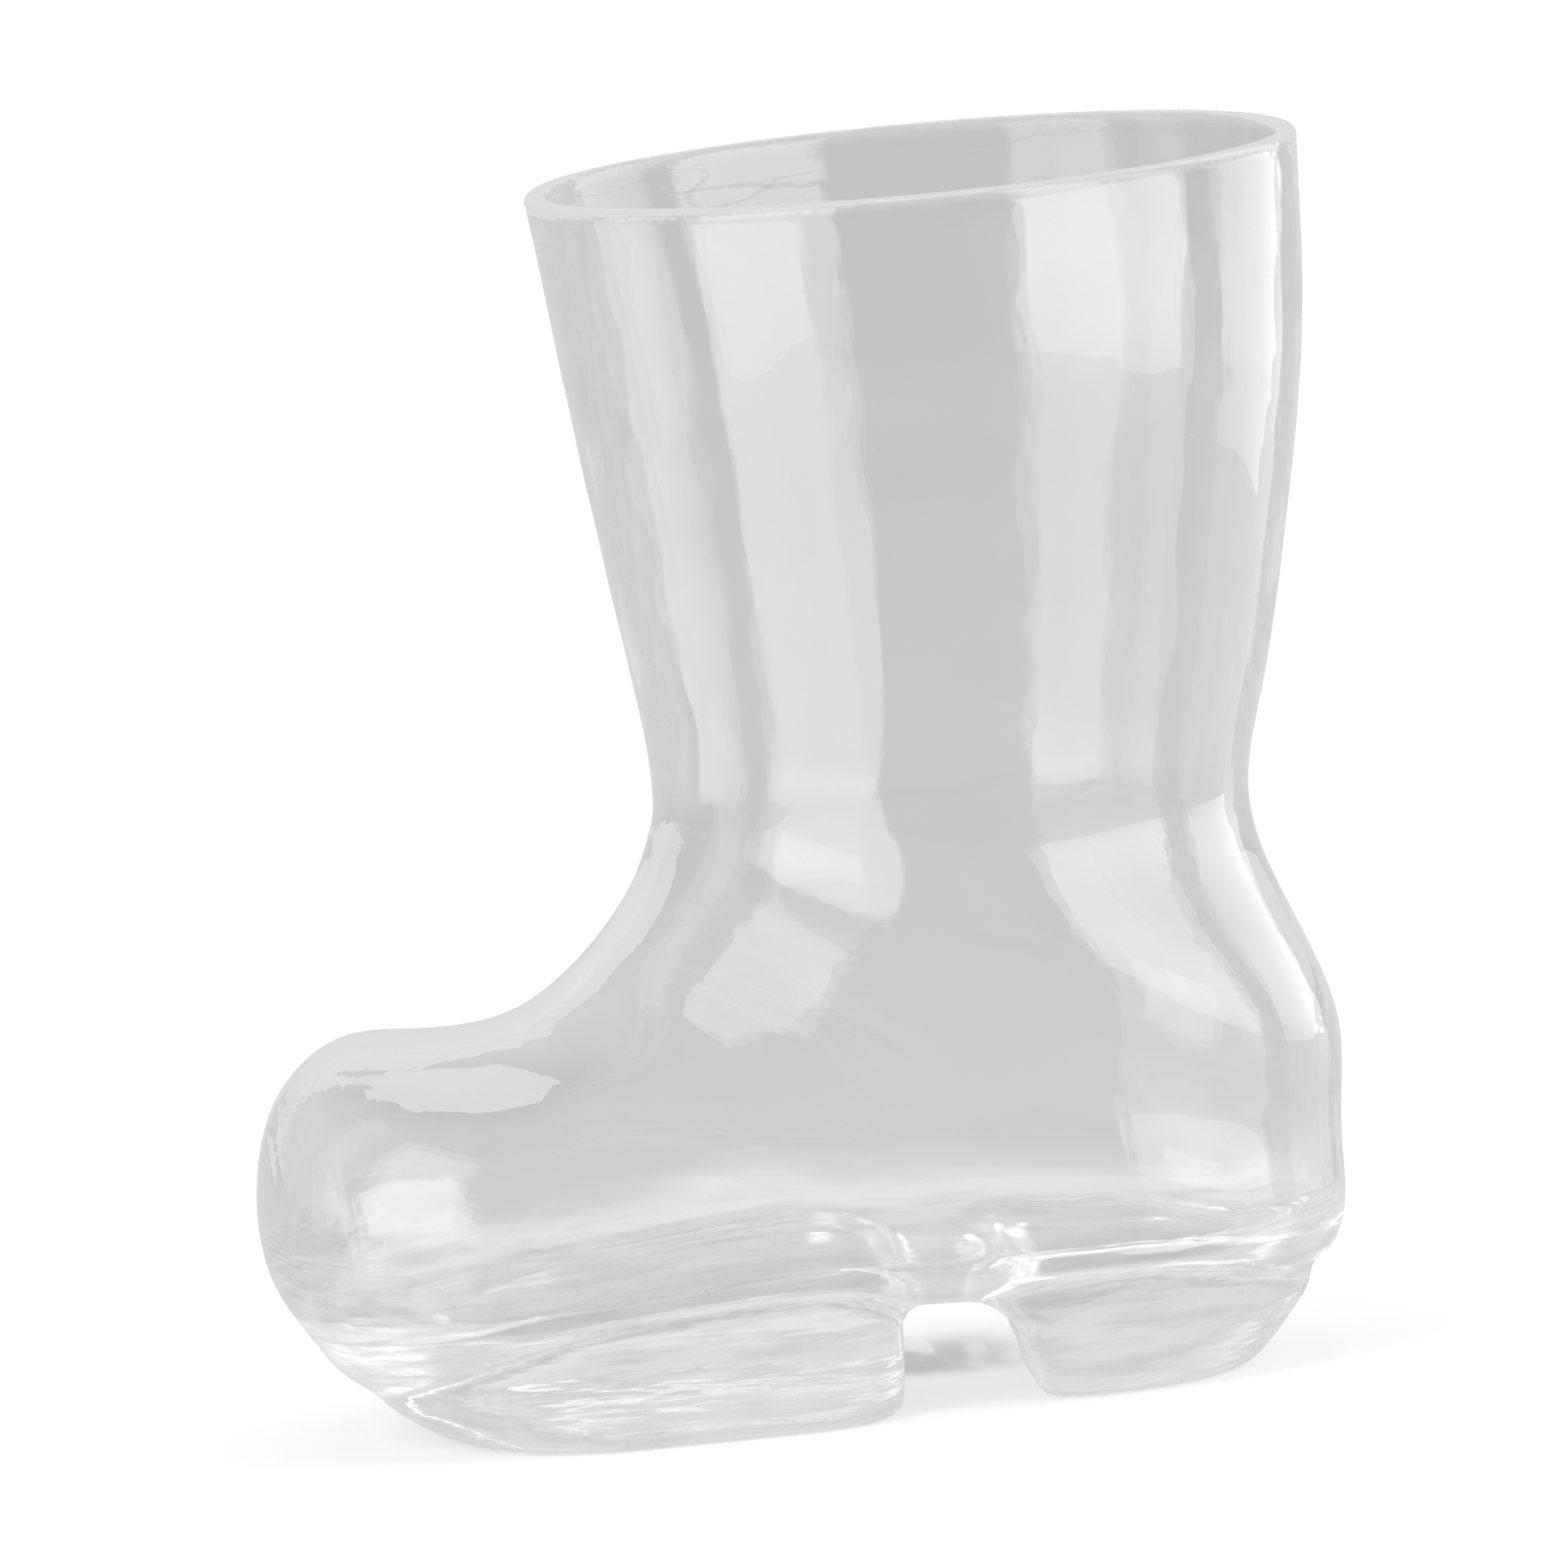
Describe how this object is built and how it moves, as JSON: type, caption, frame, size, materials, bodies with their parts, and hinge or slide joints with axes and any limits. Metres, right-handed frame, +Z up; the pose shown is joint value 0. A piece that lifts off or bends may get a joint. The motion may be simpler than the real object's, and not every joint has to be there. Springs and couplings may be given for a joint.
{
  "type": "boot-shaped drinking glass",
  "caption": "Clear drinking glass in the shape of a short boot, with a round open mouth, a hollow foot, and a solid sole and heel with an arch between them.",
  "frame": {"origin": "middle of the length and of the width, on the table that the sole and the heel stand on", "axes": "+Z up through the mouth, -X toward the toe, +X toward the heel, +Y to the side; the glass is the same on both sides of the XZ plane"},
  "size_m": [0.129, 0.0878, 0.14],
  "materials": {
    "clear_glass": "fire-polished clear soda-lime glass"
  },
  "bodies": {
    "root": {"boot_glass": "clear_glass"}
  },
  "joints": []
}
